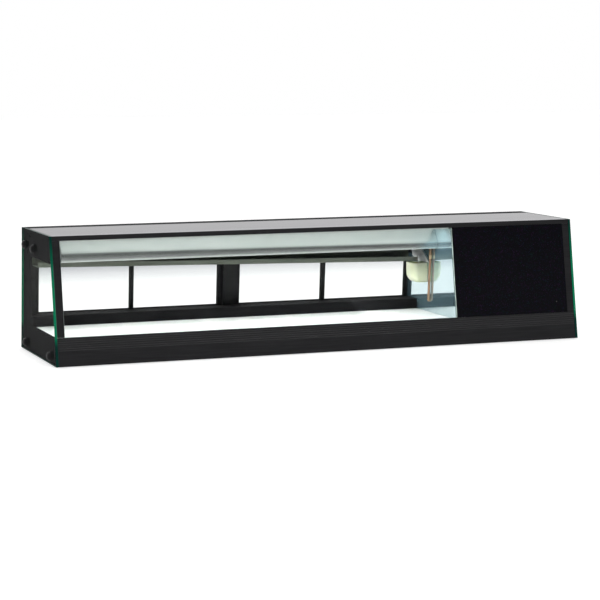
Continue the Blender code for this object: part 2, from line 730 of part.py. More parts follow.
base_plate()
insulated_base()
base_front_panel()
end_glass("end_glass_left", 0)
end_glass("end_glass_right", LENGTH - END_GLASS)
front_pieces()
top_front_rail()
top_panel()
ceiling_panel()
partition()
rear_rails()
rear_uprights()
sliding_doors()
deck_plates()
evaporator_cover()
evaporator_coil()
drip_tray()
drain_guard()
drain_cup()
suction_pipe()
compressor()
condenser_coil()
fan_parts()
rear_grille()
control_panel()
thermostat_knob()
power_switch()
power_inlet()
end_caps()
feet()
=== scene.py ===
"""Looks of the countertop refrigerated display case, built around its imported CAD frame."""

import json
import math

import bmesh
import bpy
from mathutils import Matrix, Vector


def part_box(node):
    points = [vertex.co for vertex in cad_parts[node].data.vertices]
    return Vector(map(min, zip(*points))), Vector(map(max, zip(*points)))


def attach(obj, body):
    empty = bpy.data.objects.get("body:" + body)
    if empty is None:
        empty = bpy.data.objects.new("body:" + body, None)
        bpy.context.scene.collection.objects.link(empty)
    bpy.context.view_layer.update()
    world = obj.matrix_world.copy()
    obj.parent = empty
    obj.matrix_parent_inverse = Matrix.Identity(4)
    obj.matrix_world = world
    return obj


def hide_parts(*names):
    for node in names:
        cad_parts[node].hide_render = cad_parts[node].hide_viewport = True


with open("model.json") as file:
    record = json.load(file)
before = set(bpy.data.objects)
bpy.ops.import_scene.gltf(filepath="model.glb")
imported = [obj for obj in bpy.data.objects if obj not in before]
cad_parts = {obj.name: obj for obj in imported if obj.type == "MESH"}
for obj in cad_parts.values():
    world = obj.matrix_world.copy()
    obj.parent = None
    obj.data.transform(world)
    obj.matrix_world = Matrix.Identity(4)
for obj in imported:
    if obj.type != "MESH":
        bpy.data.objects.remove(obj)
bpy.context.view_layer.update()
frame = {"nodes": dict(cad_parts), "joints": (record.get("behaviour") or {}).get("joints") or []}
NODES = frame["nodes"]

# The lower front left corner of the case. Places below are given from here, as in the design.
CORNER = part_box("end_glass_left")[0]
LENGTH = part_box("end_glass_right")[1].x - CORNER.x
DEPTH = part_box("end_glass_left")[1].y - CORNER.y
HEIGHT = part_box("end_glass_left")[1].z - CORNER.z
FRONT_LEAN = 0.171
REAR_LEAN = 0.088

# Heights up the slope of the doors, the insets of their lanes, and the unit panels' outer face.
DOOR_BOTTOM, DOOR_TOP, DOOR_RAIL = 0.0711, 0.196, 0.0085
INNER_LANE, OUTER_LANE = 0.0315, 0.0205
UNIT_FACE = -0.0115
INNER_DOORS = (1, 3)

# The clear window in the black print of the end glasses, and half the glass's thickness.
WINDOW_TOP, WINDOW_BOTTOM, WINDOW_REAR = 0.2140, 0.0610, 0.238
HALF_GLASS = 0.003

# The glass edges' dark and pale green. Along the end glass edges they are painted shade and painted light
# up the height; the door panes' edges are dark green throughout.
GREEN_DARK = (0.002, 0.026, 0.020)
GREEN_PAINTED_LIT = (0.003, 0.150, 0.070)


def at(x, y, z):
    """A point given from the case's corner, in the frame's own coordinates."""
    return CORNER + Vector((x, y, z))


def local_box(node):
    """A node's lowest and highest corners, from the case's corner."""
    low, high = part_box(node)
    return low - CORNER, high - CORNER


def leaning_plane(inset=0.0):
    """Carries x, y outwards and z up the slope onto a plane parallel to the leaning rear."""
    return Matrix.Translation(at(0, DEPTH - inset, 0)) @ Matrix.Rotation(math.atan(REAR_LEAN), 4, "X")


def door_plane(number):
    """The leaning plane through the middle of a door's pane."""
    return leaning_plane(INNER_LANE if number in INNER_DOORS else OUTER_LANE)


UPRIGHT = Matrix.Translation(CORNER)
REAR_PLANE = leaning_plane()


# ---------------------------------------------------------------- node helpers for materials

class Finish:
    """A material's node tree, with short calls for the nodes that give it its detail."""

    def __init__(self, name, color, roughness, metallic=0.0):
        self.material = bpy.data.materials.new(name)
        self.material.use_nodes = True
        self.tree = self.material.node_tree
        self.shader = self.tree.nodes["Principled BSDF"]
        self.output = self.tree.nodes["Material Output"]
        self.coords = self.tree.nodes.new("ShaderNodeTexCoord")
        self.constant("Base Color", (*color, 1.0))
        self.constant("Roughness", roughness)
        self.constant("Metallic", metallic)

    def constant(self, socket, value):
        self.shader.inputs[socket].default_value = value
        return self

    def node(self, kind, settings=(), **inputs):
        made = self.tree.nodes.new("ShaderNode" + kind)
        for name, value in settings:
            setattr(made, name, value)
        for name, value in inputs.items():
            made.inputs[name.replace("_", " ")].default_value = value
        return made

    def link(self, source, target):
        self.tree.links.new(source, target)

    def feed(self, socket, source):
        self.link(source, self.shader.inputs[socket])
        return self

    def place(self, stretch=(1, 1, 1)):
        mapping = self.node("Mapping", Scale=stretch)
        self.link(self.coords.outputs["Object"], mapping.inputs["Vector"])
        return mapping.outputs["Vector"]

    def noise(self, scale, stretch=(1, 1, 1), detail=3.0):
        texture = self.node("TexNoise", Scale=scale, Detail=detail)
        self.link(self.place(stretch), texture.inputs["Vector"])
        return texture.outputs["Fac"]

    def cells(self, scale, output="Distance"):
        texture = self.node("TexVoronoi", Scale=scale)
        self.link(self.place(), texture.inputs["Vector"])
        return texture.outputs[output]

    def ramp(self, source, *stops):
        ramp = self.node("ValToRGB")
        elements = ramp.color_ramp.elements
        for _ in stops[2:]:
            elements.new(0.5)
        for element, (position, color) in zip(elements, stops):
            element.position = position
            element.color = (*color, 1.0)
        self.link(source, ramp.inputs["Fac"])
        return ramp.outputs["Color"]

    def spread(self, source, low, high, start=0.0, end=1.0):
        spread = self.node("MapRange", From_Min=start, From_Max=end, To_Min=low, To_Max=high)
        self.link(source, spread.inputs["Value"])
        return spread.outputs["Result"]

    def math(self, operation, *values):
        made = self.node("Math", [("operation", operation)])
        for socket, value in zip(made.inputs, values):
            if isinstance(value, (int, float)):
                socket.default_value = value
            else:
                self.link(value, socket)
        return made.outputs[0]

    def blend(self, amount, first, second):
        mix = self.node("MixShader")
        self.link(amount, mix.inputs["Fac"])
        self.link(first, mix.inputs[1])
        self.link(second, mix.inputs[2])
        return mix.outputs[0]

    def axis(self, which, source="Object"):
        split = self.node("SeparateXYZ")
        self.link(self.coords.outputs[source], split.inputs[0])
        return split.outputs[which]

    def colors(self, source, *stops):
        return self.feed("Base Color", self.ramp(source, *stops))

    def roughness(self, source, low, high):
        return self.feed("Roughness", self.spread(source, low, high))

    def bump(self, source, strength, distance=0.0005):
        bump = self.node("Bump", Strength=strength, Distance=distance)
        self.link(source, bump.inputs["Height"])
        return self.feed("Normal", bump.outputs["Normal"])


# ---------------------------------------------------------------- materials

def black_anodised():
    """Extruded aluminium, black anodised: faint die lines along it and a fine matt grain."""
    made = Finish("black_anodised", (0.012, 0.012, 0.013), 0.42)
    made.colors(made.noise(40, (0.3, 9, 9), 4),
                (0.3, (0.0085, 0.0085, 0.0095)), (0.7, (0.015, 0.015, 0.0165)))
    made.roughness(made.noise(30), 0.36, 0.50)
    made.constant("Specular IOR Level", 0.18)
    return made.bump(made.noise(260, (0.06, 5, 5), 2), 0.10, 0.0002).material


def black_vinyl():
    """Matt black rails of the rear wall, with a fine moulded grain."""
    made = Finish("black_vinyl", (0.010, 0.010, 0.011), 0.75)
    made.colors(made.noise(90, (0.2, 1, 1)), (0.3, (0.008, 0.008, 0.009)), (0.7, (0.013, 0.013, 0.014)))
    return made.constant("Specular IOR Level", 0.04).bump(made.noise(500, detail=2), 0.08, 0.0002).material


def black_gloss():
    """Black glass of the top: a trace of haze, wiping marks, and a painted reflection, a paler band along
    its front.
    """
    made = Finish("black_gloss", (0.012, 0.011, 0.018), 0.06)
    grain = made.math("MULTIPLY", made.noise(5, (1, 3, 1), 5), 0.010)
    # Painted reflection: the colour pales towards the front edge, up to the ramp's last stop, in place of
    # bright surroundings mirrored there.
    painted_sheen_back, painted_sheen_front = CORNER.y + 0.120, CORNER.y + 0.047
    front = made.spread(made.axis("Y"), 0, 1, painted_sheen_back, painted_sheen_front)
    made.colors(made.math("ADD", grain, front), (0.0, (0.012, 0.010, 0.019)),
                (0.45, (0.016, 0.014, 0.024)), (1.0, (0.160, 0.155, 0.190)))
    made.constant("IOR", 1.12).constant("Specular Tint", (0.95, 0.92, 1.0, 1.0))
    return made.roughness(made.noise(7, (0.5, 3, 1), 6), 0.04, 0.13).material


def black_flecked():
    """Black panel with fine violet, blue and green flecks under a glossy face."""
    made = Finish("black_flecked", (0.004, 0.004, 0.005), 0.16)
    fleck = made.ramp(made.cells(430), (0.0, (1, 1, 1)), (0.32, (0, 0, 0)))
    tones = made.ramp(made.noise(130, detail=1),
                      (0.38, (0.060, 0.014, 0.085)), (0.50, (0.006, 0.007, 0.012)),
                      (0.56, (0.016, 0.024, 0.090)), (0.64, (0.009, 0.050, 0.040)))
    mix = made.node("MixRGB", Color1=(0.0035, 0.0035, 0.0045, 1))
    made.link(fleck, mix.inputs["Fac"])
    made.link(tones, mix.inputs["Color2"])
    made.feed("Base Color", mix.outputs[0]).constant("Specular IOR Level", 0.12)
    return made.roughness(made.noise(14, detail=5), 0.12, 0.24).material


def clear_face(made, tint, gloss_ior):
    """See-through glass: a tinted pane whose mirror-like share grows towards grazing angles."""
    clear = made.node("BsdfTransparent", Color=(*tint, 1))
    gloss = made.node("BsdfGlossy", Roughness=0.02)
    fresnel = made.node("Fresnel", IOR=gloss_ior)
    outside = made.math("SUBTRACT", 1.0, made.node("NewGeometry").outputs["Backfacing"])
    share = made.math("MULTIPLY", fresnel.outputs[0], outside)
    return clear, made.blend(share, clear.outputs[0], gloss.outputs[0])


def green_edge(made):
    """The pane's edge in painted light: greener and faintly glowing at middle height, where light reaches
    it, and nearly black at top and bottom as painted shade.
    """
    height = made.spread(made.axis("Z"), 0, 1, CORNER.z, CORNER.z + HEIGHT)
    green = made.ramp(height, (0.0, GREEN_DARK), (0.16, GREEN_DARK), (0.24, GREEN_PAINTED_LIT),
                      (0.60, GREEN_PAINTED_LIT), (0.97, GREEN_DARK))
    # Painted light: the edge's green and its glow stand in for light carried through the glass.
    made.feed("Base Color", green).feed("Emission Color", green).constant("Emission Strength", 0.18)


def broad(made, axis, limit=0.8):
    """One on a pane's broad faces, which look along an axis, and nought on its edges."""
    return made.math("GREATER_THAN", made.math("ABSOLUTE", made.axis(axis, "Normal")), limit)


def front_glass():
    """Clear pane of the front with frosted pale edges."""
    made = Finish("front_glass", (0.42, 0.50, 0.47), 0.25)
    made.colors(made.noise(60), (0.3, (0.38, 0.46, 0.43)), (0.7, (0.46, 0.54, 0.51)))
    _, face = clear_face(made, (0.975, 0.988, 0.982), 1.25)
    made.link(made.blend(broad(made, "Y"), made.shader.outputs[0], face), made.output.inputs["Surface"])
    return made.material


def door_glass():
    """Door panes carry a painted grey shadow that deepens towards the header."""
    made = Finish("door_glass", GREEN_DARK, 0.15)
    clear, face = clear_face(made, (1, 1, 1), 1.25)
    low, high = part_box("door_1_glass")
    height = made.spread(made.axis("Z"), 0, 1, low.z, high.z)
    # Painted shade: what is seen through the panes is dimmed by height, most under the header.
    shade = made.ramp(height, (0.0, (0.99, 0.99, 0.99)), (0.55, (0.97, 0.97, 0.97)),
                      (0.80, (0.82, 0.82, 0.83)), (1.0, (0.64, 0.64, 0.66)))
    made.link(shade, clear.inputs["Color"])
    made.link(made.blend(broad(made, "Y"), made.shader.outputs[0], face), made.output.inputs["Surface"])
    return made.material


def end_glass():
    """Clear glass whose inner face carries a black printed border, all black over the unit."""
    made = Finish("end_glass", GREEN_PAINTED_LIT, 0.4)
    made.constant("Specular IOR Level", 0.05)
    # Painted light and painted shade along the edges' height.
    green_edge(made)
    _, face = clear_face(made, (0.96, 0.985, 0.97), 1.02)
    half = LENGTH / 2
    x, y, z = (made.axis(axis) for axis in "XYZ")
    inner = made.math("LESS_THAN", made.math("ABSOLUTE", x), half - HALF_GLASS)
    bands = (made.math("GREATER_THAN", z, CORNER.z + WINDOW_TOP),
             made.math("LESS_THAN", z, CORNER.z + WINDOW_BOTTOM),
             made.math("GREATER_THAN", y, CORNER.y + WINDOW_REAR),
             made.math("GREATER_THAN", x, half / 2))
    border = bands[0]
    for band in bands[1:]:
        border = made.math("MAXIMUM", border, band)
    ink = made.node("BsdfPrincipled", Base_Color=(0.006, 0.006, 0.007, 1), IOR=1.02)
    made.link(made.spread(made.noise(60), 0.35, 0.6), ink.inputs["Roughness"])
    printed = made.blend(made.math("MULTIPLY", inner, border), face, ink.outputs[0])
    whole = made.blend(broad(made, "X", 0.4), made.shader.outputs[0], printed)
    made.link(whole, made.output.inputs["Surface"])
    return made.material


def polished_steel():
    """Mirror finish with a cool haze and faint lines from polishing."""
    made = Finish("polished_steel", (0.70, 0.80, 0.82), 0.05, 1.0)
    made.roughness(made.noise(12, (1, 1, 6), 5), 0.03, 0.09)
    haze = made.node("BsdfDiffuse", Color=(0.28, 0.46, 0.55, 1))
    both = made.node("MixShader", Fac=0.16)
    made.link(made.shader.outputs[0], both.inputs[1])
    made.link(haze.outputs[0], both.inputs[2])
    made.link(both.outputs[0], made.output.inputs["Surface"])
    return made.material


def satin_steel():
    """Brushed steel of the cover, its grain running along the case."""
    made = Finish("satin_steel", (0.86, 0.89, 0.87), 0.26, 1.0)
    made.colors(made.noise(40, (0.05, 10, 10), 3), (0.3, (0.84, 0.87, 0.85)), (0.7, (0.89, 0.91, 0.90)))
    return made.roughness(made.noise(50, (0.05, 14, 14), 3), 0.22, 0.28).material


def white_enamel():
    """White coated steel of the deck: slight orange peel and faint scuffs."""
    made = Finish("white_enamel", (0.88, 0.89, 0.885), 0.32)
    made.colors(made.noise(18, detail=6), (0.3, (0.85, 0.865, 0.86)), (0.6, (0.90, 0.905, 0.90)))
    made.roughness(made.noise(35, (3, 1, 1), 5), 0.25, 0.42)
    return made.bump(made.noise(700, detail=1), 0.06, 0.0002).material


def foam_liner():
    made = Finish("foam_liner", (0.74, 0.77, 0.76), 0.5)
    made.colors(made.noise(25, detail=5), (0.3, (0.70, 0.73, 0.72)), (0.7, (0.79, 0.81, 0.80)))
    return made.bump(made.noise(400, detail=2), 0.08, 0.0003).material


def galvanised():
    """Zinc-coated sheet with its crystal spangle."""
    made = Finish("galvanised", (0.42, 0.44, 0.45), 0.42, 0.9)
    made.colors(made.cells(90, "Color"), (0.2, (0.34, 0.36, 0.37)), (0.8, (0.50, 0.52, 0.53)))
    return made.roughness(made.cells(90, "Distance"), 0.30, 0.55).material


def coil_aluminium():
    made = Finish("coil_aluminium", (0.60, 0.62, 0.62), 0.38, 1.0)
    made.colors(made.noise(120, (1, 1, 0.2)), (0.3, (0.46, 0.48, 0.48)), (0.7, (0.68, 0.70, 0.70)))
    return made.bump(made.noise(900), 0.1, 0.0002).material


def olive_coating():
    made = Finish("olive_coating", (0.140, 0.155, 0.125), 0.42, 0.15)
    made.colors(made.noise(22, (0.4, 2, 2), 5), (0.3, (0.12, 0.135, 0.105)), (0.7, (0.17, 0.185, 0.15)))
    made.roughness(made.noise(60), 0.34, 0.52)
    return made.bump(made.noise(500, detail=2), 0.1, 0.0002).material


def copper():
    """Copper tube with its tarnish in soft patches."""
    made = Finish("copper", (0.72, 0.44, 0.29), 0.28, 1.0)
    made.colors(made.noise(70, (1, 1, 0.4), 5), (0.3, (0.30, 0.16, 0.10)), (0.65, (0.46, 0.29, 0.19)))
    made.roughness(made.noise(90, detail=5), 0.26, 0.42)
    return made.bump(made.noise(300), 0.06, 0.0002).material


def brass():
    made = Finish("brass", (0.66, 0.50, 0.30), 0.30, 1.0)
    made.colors(made.noise(140), (0.3, (0.56, 0.42, 0.25)), (0.7, (0.74, 0.58, 0.36)))
    return made.roughness(made.noise(200), 0.22, 0.40).material


def cup_plastic():
    """Pale green moulded plastic that lets some light through."""
    made = Finish("cup_plastic", (0.68, 0.74, 0.50), 0.32)
    made.colors(made.noise(40, detail=4), (0.3, (0.64, 0.70, 0.46)), (0.7, (0.74, 0.79, 0.57)))
    made.constant("Subsurface Weight", 0.5).constant("Subsurface Scale", 0.006)
    made.constant("Subsurface Radius", (0.8, 1.0, 0.5))
    return made.bump(made.noise(600, detail=1), 0.05, 0.0002).material


def white_plastic():
    made = Finish("white_plastic", (0.92, 0.93, 0.92), 0.35)
    made.colors(made.noise(50, detail=4), (0.3, (0.90, 0.91, 0.90)), (0.7, (0.95, 0.95, 0.94)))
    return made.bump(made.noise(700, detail=1), 0.05, 0.0002).material


def black_plastic():
    """Moulded black plastic with a fine spark-eroded grain."""
    made = Finish("black_plastic", (0.014, 0.014, 0.015), 0.38)
    made.colors(made.noise(90), (0.3, (0.010, 0.010, 0.011)), (0.7, (0.019, 0.019, 0.020)))
    made.roughness(made.noise(160), 0.30, 0.48).constant("Specular IOR Level", 0.08)
    return made.bump(made.cells(1600), 0.10, 0.0002).material


def black_enamel():
    made = Finish("black_enamel", (0.014, 0.014, 0.015), 0.28)
    made.colors(made.noise(45, detail=4), (0.3, (0.010, 0.010, 0.011)), (0.7, (0.020, 0.020, 0.021)))
    made.roughness(made.noise(60, detail=4), 0.20, 0.40)
    return made.bump(made.noise(240, detail=2), 0.12, 0.0004).material


def rubber():
    made = Finish("rubber", (0.012, 0.012, 0.012), 0.8)
    made.colors(made.noise(120, detail=4), (0.3, (0.009, 0.009, 0.009)), (0.7, (0.020, 0.020, 0.020)))
    return made.bump(made.noise(900, detail=2), 0.25, 0.0003).material


def white_ink():
    made = Finish("white_ink", (0.75, 0.75, 0.74), 0.5)
    return made.colors(made.noise(400), (0.3, (0.68, 0.68, 0.67)), (0.7, (0.80, 0.80, 0.79))).material


def zinc_screw():
    made = Finish("zinc_screw", (0.60, 0.60, 0.60), 0.28, 1.0)
    made.colors(made.noise(300), (0.3, (0.50, 0.50, 0.50)), (0.7, (0.68, 0.68, 0.68)))
    return made.roughness(made.noise(500), 0.20, 0.38).material


MAKERS = (black_anodised, black_vinyl, black_gloss, black_flecked, front_glass, door_glass, end_glass,
          polished_steel, satin_steel, white_enamel, foam_liner, galvanised, coil_aluminium, olive_coating,
          copper, brass, cup_plastic, white_plastic, black_plastic, black_enamel, rubber, white_ink,
          zinc_screw)
LOOK = {maker.__name__: maker() for maker in MAKERS}

# ---------------------------------------------------------------- finishes of the CAD nodes

NODE_LOOKS = {
    "base_plate": "galvanised", "insulated_base": "foam_liner", "ceiling_panel": "foam_liner",
    "partition_core": "foam_liner", "partition": "polished_steel", "top_panel": "black_gloss",
    "compressor_front_panel": "black_flecked", "front_glass": "front_glass",
    "evaporator_cover": "satin_steel",
    "rear_sill": "black_vinyl", "rear_top_rail": "black_vinyl", "drip_tray": "olive_coating",
    "drain_guard": "white_plastic", "fan_shroud": "galvanised", "fan_motor": "black_enamel",
    "power_switch": "black_plastic", "power_inlet": "black_plastic",
}
GROUP_LOOKS = {"deck_plate": "white_enamel", "foot": "rubber", "end_glass": "end_glass"}
UNBEVELLED = ("door_", "evaporator_coil", "condenser_coil", "drip_tray")


def look_of(name):
    if name.startswith("door") and name.endswith("glass"):
        return "door_glass"
    for group, look in GROUP_LOOKS.items():
        if name.startswith(group):
            return look
    return NODE_LOOKS.get(name, "black_anodised")


def soften_edges(piece, width):
    """Small rounded edges, on a node whose triangles come apart at their corners."""
    weld = piece.modifiers.new("weld", "WELD")
    weld.merge_threshold = 0.00001
    bevel = piece.modifiers.new("edges", "BEVEL")
    bevel.width = width
    bevel.segments = 2
    bevel.limit_method = "ANGLE"
    bevel.angle_limit = math.radians(35)
    piece.modifiers.new("normals", "WEIGHTED_NORMAL")


def finish_nodes():
    """Gives each CAD node its material, and all but the thin or slender ones soft edges."""
    for name, node in NODES.items():
        node.data.materials.clear()
        node.data.materials.append(LOOK[look_of(name)])
        if not name.startswith(UNBEVELLED):
            soften_edges(node, min(0.0005, min(node.dimensions) * 0.2))


# ---------------------------------------------------------------- shapes

def piece_from(name, shape, look, body="case", smooth=35, place=Matrix.Identity(4)):
    """A new mesh piece that rides on a body, smooth except at edges sharper than an angle."""
    mesh = bpy.data.meshes.new(name)
    shape.transform(place)
    bmesh.ops.recalc_face_normals(shape, faces=shape.faces)
    shape.to_mesh(mesh)
    shape.free()
    mesh.shade_smooth()
    mesh.set_sharp_from_angle(angle=math.radians(smooth))
    piece = bpy.data.objects.new(name, mesh)
    mesh.materials.append(LOOK[look])
    bpy.context.scene.collection.objects.link(piece)
    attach(piece, body)
    return piece


def add_box(shape, low, high, radius=0.0, segments=2):
    """A box between two corners, with its edges rounded."""
    low, high = Vector(low), Vector(high)
    place = Matrix.Translation((low + high) / 2) @ Matrix.Diagonal((*(high - low), 1))
    made = bmesh.ops.create_cube(shape, size=1, matrix=place)["verts"]
    if radius:
        edges = {edge for corner in made for edge in corner.link_edges}
        bmesh.ops.bevel(shape, geom=list(edges), offset=radius, segments=segments, affect="EDGES",
                        profile=0.5)


def add_prism(shape, outline, x0, x1):
    """A solid between two copies of a (y, z) outline."""
    ends = [[shape.verts.new((x, y, z)) for y, z in outline] for x in (x0, x1)]
    for index in range(len(outline)):
        after = (index + 1) % len(outline)
        shape.faces.new((ends[0][index], ends[0][after], ends[1][after], ends[1][index]))
    for end in ends:
        shape.faces.new(end)


def pointing(axis, place):
    """A matrix that carries local +Z onto an axis at a place."""
    return Matrix.Translation(Vector(place)) @ Vector(axis).to_track_quat("Z", "Y").to_matrix().to_4x4()


def add_turned(shape, profile, place, steps=40, flutes=0, depth=0.0):
    """A turned shape from (radius, height) pairs, running from axis to axis, with optional flutes."""
    rings = []
    for radius, height in profile:
        if radius < 0.000001:
            rings.append([shape.verts.new(place @ Vector((0, 0, height)))])
            continue
        ring = []
        for step in range(steps):
            turn = math.tau * step / steps
            reach = radius - depth * (0.5 + 0.5 * math.cos(flutes * turn)) if flutes else radius
            point = Vector((reach * math.cos(turn), reach * math.sin(turn), height))
            ring.append(shape.verts.new(place @ point))
        rings.append(ring)
    for upper, lower in zip(rings, rings[1:]):
        for step in range(steps):
            after = (step + 1) % steps
            corners = [upper[step % len(upper)], lower[step % len(lower)],
                       lower[after % len(lower)], upper[after % len(upper)]]
            shape.faces.new(list(dict.fromkeys(corners)))


def smooth_route(stops, per_leg=8):
    """Points on a Catmull-Rom curve through the stops."""
    stops = [Vector(stop) for stop in stops]
    padded = [stops[0] * 2 - stops[1]] + stops + [stops[-1] * 2 - stops[-2]]
    route = []
    for a, b, c, d in zip(padded, padded[1:], padded[2:], padded[3:]):
        for step in range(per_leg):
            t = step / per_leg
            route.append(0.5 * (2 * b + (c - a) * t + (2 * a - 5 * b + 4 * c - d) * t ** 2
                                + (3 * b - a - 3 * c + d) * t ** 3))
    return route + [stops[-1]]


def tube(name, points, radius, look, body="case"):
    """A round tube along a list of points given from the case's corner."""
    curve = bpy.data.curves.new(name, "CURVE")
    curve.dimensions = "3D"
    curve.bevel_depth = radius
    curve.bevel_resolution = 4
    curve.use_fill_caps = True
    spline = curve.splines.new("POLY")
    spline.points.add(len(points) - 1)
    for point, stop in zip(spline.points, points):
        point.co = (*at(*stop), 1)
    spline.use_smooth = True
    curve.materials.append(LOOK[look])
    piece = bpy.data.objects.new(name, curve)
    bpy.context.scene.collection.objects.link(piece)
    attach(piece, body)
    return piece


# ---------------------------------------------------------------- fasteners and caps

def screw_mesh(radius):
    """A pan head with a cross recess, standing on its seat along +Z."""
    height = radius * 0.62
    head = bmesh.new()
    turns = [math.radians(90 - 11.25 * step) for step in range(9)]
    dome = [(radius * math.cos(turn), height * math.sin(turn)) for turn in turns]
    add_turned(head, dome + [(0, 0)], Matrix.Identity(4), 24)
    bmesh.ops.recalc_face_normals(head, faces=head.faces)
    arms = bmesh.new()
    long, short = radius * 0.62, radius * 0.14
    add_box(arms, (-long, -short, height * 0.45), (long, short, height * 2))
    cross = bmesh.new()
    add_box(cross, (-short, -long, height * 0.45), (short, long, height * 2))
    whole = as_object(head)
    for tool in (arms, cross):
        cut = whole.modifiers.new("recess", "BOOLEAN")
        cut.operation = "DIFFERENCE"
        cut.object = as_object(tool)
    depsgraph = bpy.context.evaluated_depsgraph_get()
    mesh = bpy.data.meshes.new_from_object(whole.evaluated_get(depsgraph))
    for cut in list(whole.modifiers):
        bpy.data.objects.remove(cut.object)
    bpy.data.objects.remove(whole)
    mesh.shade_smooth()
    mesh.set_sharp_from_angle(angle=math.radians(30))
    return mesh


def as_object(shape):
    mesh = bpy.data.meshes.new("working")
    shape.to_mesh(mesh)
    shape.free()
    made = bpy.data.objects.new("working", mesh)
    bpy.context.scene.collection.objects.link(made)
    return made


def add_screws(name, axis, places, radius, look, plane=UPRIGHT):
    """Screw heads standing on a face, each turned a little differently."""
    mesh = screw_mesh(radius)
    mesh.materials.append(LOOK[look])
    for index, place in enumerate(places, start=1):
        screw = bpy.data.objects.new(f"{name}_{index}", mesh)
        screw.matrix_world = plane @ pointing(axis, place) @ Matrix.Rotation(0.7 * index, 4, "Z")
        bpy.context.scene.collection.objects.link(screw)
        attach(screw, "case")


def end_caps():
    """Domed plastic caps over the glass fixings, each with a fine groove round its foot."""
    step_up = 0.0018
    for side, axis in (("left", (-1, 0, 0)), ("right", (1, 0, 0))):
        for number in range(1, 5):
            node = f"end_cap_{side}_{number}"
            low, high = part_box(node)
            seat = (low + high) / 2
            seat.x = high.x if side == "left" else low.x
            radius, height = (high.y - low.y) / 2, high.x - low.x
            turns = [math.radians(90 - 9 * step) for step in range(9)]
            dome = [(radius * 0.96 * math.cos(turn), step_up + (height - step_up) * math.sin(turn))
                    for turn in turns]
            foot = [(radius * 0.93, 0.0016), (radius * 0.99, 0.0012), (radius, 0.0008), (radius, 0), (0, 0)]
            shape = bmesh.new()
            add_turned(shape, dome + foot, pointing(axis, seat))
            cap = piece_from(f"cap_{side}_{number}", shape, "black_plastic", smooth=50)
            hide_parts(node)


# ---------------------------------------------------------------- cold parts

def drain_cup():
    """Thin moulded cup with a small rim, flat on the partition, its left corners rounded."""
    low, high = local_box("drain_cup")
    wall, back, front = 0.0016, high.y, low.y

    # Each level below is the cup's left side, its height, and its inset at the other sides.
    def ring(shape, left, z, inset):
        right = high.x - inset
        corners = ((0.005, back - 0.005, 90), (0.014, front + 0.014, 180))
        points = [(right, front + inset), (right, back - inset)]
        for radius, y, start in corners:
            for step in range(11):
                turn = math.radians(start + 9 * step)
                reach = radius - inset
                points.append((left + radius + reach * math.cos(turn), y + reach * math.sin(turn)))
        return [shape.verts.new(at(px, py, z)) for px, py in points]

    outer = [(low.x + 0.0130, low.z, 0.0012), (low.x + 0.0118, low.z + 0.0012, 0),
             (low.x + 0.0080, 0.1304, 0), (low.x + 0.0035, 0.1362, 0), (low.x + 0.0014, 0.1415, 0),
             (low.x + 0.0006, 0.1560, 0), (low.x + 0.0003, high.z - 0.0026, 0.0003),
             (low.x, high.z - 0.0018, 0), (low.x, high.z, 0.0003)]
    inner = [(left, max(z, low.z + 0.0018), wall) for left, z, _ in reversed(outer)]
    inner[0] = (low.x, high.z, wall - 0.0003)
    shape = bmesh.new()
    rings = [ring(shape, *level) for level in outer + inner]
    for lower, upper in zip(rings, rings[1:]):
        for index in range(len(lower)):
            after = (index + 1) % len(lower)
            shape.faces.new((lower[index], lower[after], upper[after], upper[index]))
    shape.faces.new(rings[0])
    shape.faces.new(rings[-1])
    bmesh.ops.remove_doubles(shape, verts=shape.verts, dist=0.00002)
    cup = piece_from("cup", shape, "cup_plastic", smooth=50)
    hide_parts("drain_cup")


def suction_pipe():
    """The copper pipe with its flare nut, bent at the foot towards the partition."""
    x, y, z, elbow = 0.9384, 0.1600, 0.0870, 0.0034
    stops = [(x - 0.004, 0.1522, 0.2300), (x, 0.1510, 0.2120), (x, 0.1504, 0.1950), (x, 0.1524, 0.1700),
             (x, 0.1550, 0.1380), (x, 0.1569, 0.1100), (x, 0.1595, 0.0920)]
    turns = [math.radians(15 * step) for step in range(7)]
    bend = [Vector((x + elbow * (1 - math.cos(turn)), y, z - elbow * math.sin(turn))) for turn in turns]
    pipe = tube("pipe", smooth_route(stops) + bend + [bend[-1] + Vector((0.0003, 0, 0))], 0.0031, "copper")
    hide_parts("suction_pipe")
    nut = bmesh.new()
    place = pointing((0, 0.03, 1), at(x, 0.1508, 0.1828))
    body = [(0, 0), (0.0034, 0), (0.0037, 0.0008), (0.0037, 0.0108), (0.0034, 0.0120), (0.0033, 0.0155),
            (0.0032, 0.0160), (0, 0.0160)]
    add_turned(nut, body, place, 36, 6, 0.0003)
    piece_from("flare_nut", nut, "brass")


def finned_block(name, low, high, pitch, tube_places, tube_radius):
    """Thin fins on tubes that run along X."""
    shape = bmesh.new()
    fin = 0.0003
    length = high[0] - low[0]
    count = int(length / pitch)
    for index in range(count + 1):
        x = low[0] + index * (length - fin) / count
        add_box(shape, at(x, low[1], low[2]), at(x + fin, high[1], high[2]))
    for y, z in tube_places:
        add_turned(shape, [(0, 0), (tube_radius, 0), (tube_radius, length), (0, length)],
                   pointing((1, 0, 0), at(low[0], y, z)), 12)
    return piece_from(name, shape, "coil_aluminium")


def return_bends(name, tube_places, radius, x):
    """U-bends that join the tubes in pairs beyond the right end of a finned block."""
    for index, (first, second) in enumerate(zip(tube_places[::2], tube_places[1::2]), start=1):
        middle = [(a + b) / 2 for a, b in zip(first, second)]
        half = [(b - a) / 2 for a, b in zip(first, second)]
        bulge = math.hypot(*half)
        points = []
        for step in range(13):
            turn = math.pi * step / 12
            across = [centre - reach * math.cos(turn) for centre, reach in zip(middle, half)]
            points.append(Vector((x + bulge * math.sin(turn), *across)))
        tube(f"{name}_{index}", points, radius, "copper")


